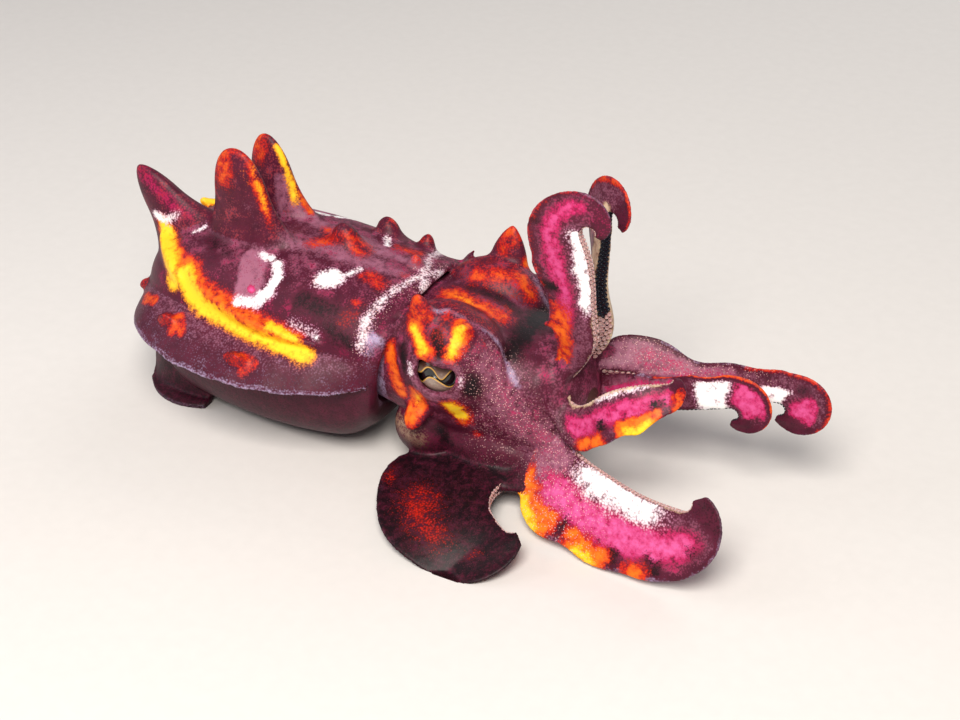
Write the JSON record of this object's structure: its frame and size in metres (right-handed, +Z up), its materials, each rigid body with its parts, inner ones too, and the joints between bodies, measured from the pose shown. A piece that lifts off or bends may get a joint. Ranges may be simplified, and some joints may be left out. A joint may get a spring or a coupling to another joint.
{
  "type": "flamboyant cuttlefish",
  "caption": "Life-size flamboyant cuttlefish walking on splayed arms and belly flaps, front arms raised, with papillae and banded red, yellow and white skin.",
  "frame": {"origin": "on the floor, under the middle of the whole animal's box", "axes": "+X the way the animal faces and walks, +Y its left side, +Z up"},
  "size_m": [0.145, 0.0768, 0.0657],
  "materials": {
    "mantle_skin": "moist living skin, maroon with white, mauve and yellow marks",
    "head_skin": "moist living skin, rose and mauve with orange patches and fine pale dots",
    "arm_skin": "moist living skin, pink with white sucker edge, orange keel and dark spots",
    "fin_membrane": "thin translucent membrane, purple grey with a pale rim",
    "pale_flesh": "smooth pale moist flesh",
    "eye": "wet silver brown iris with a black pupil"
  },
  "bodies": {
    "root": {"mantle": "mantle_skin", "head": "head_skin", "eye_right": "eye", "eye_left": "eye", "mouth": "pale_flesh", "funnel": "pale_flesh", "flap_right": "fin_membrane", "flap_left": "fin_membrane", "fin_front_right": "fin_membrane", "fin_mid_right": "fin_membrane", "fin_rear_right": "fin_membrane", "fin_front_left": "fin_membrane", "fin_mid_left": "fin_membrane", "fin_rear_left": "fin_membrane", "arm_1_right_base": "arm_skin", "arm_1_right_tip": "arm_skin", "arm_2_right_base": "arm_skin", "arm_2_right_tip": "arm_skin", "arm_3_right_base": "arm_skin", "arm_3_right_tip": "arm_skin", "arm_4_right_base": "arm_skin", "arm_4_right_tip": "arm_skin", "arm_1_left_base": "arm_skin", "arm_1_left_tip": "arm_skin", "arm_2_left_base": "arm_skin", "arm_2_left_tip": "arm_skin", "arm_3_left_base": "arm_skin", "arm_3_left_tip": "arm_skin", "arm_4_left_base": "arm_skin", "arm_4_left_tip": "arm_skin"}
  },
  "joints": []
}
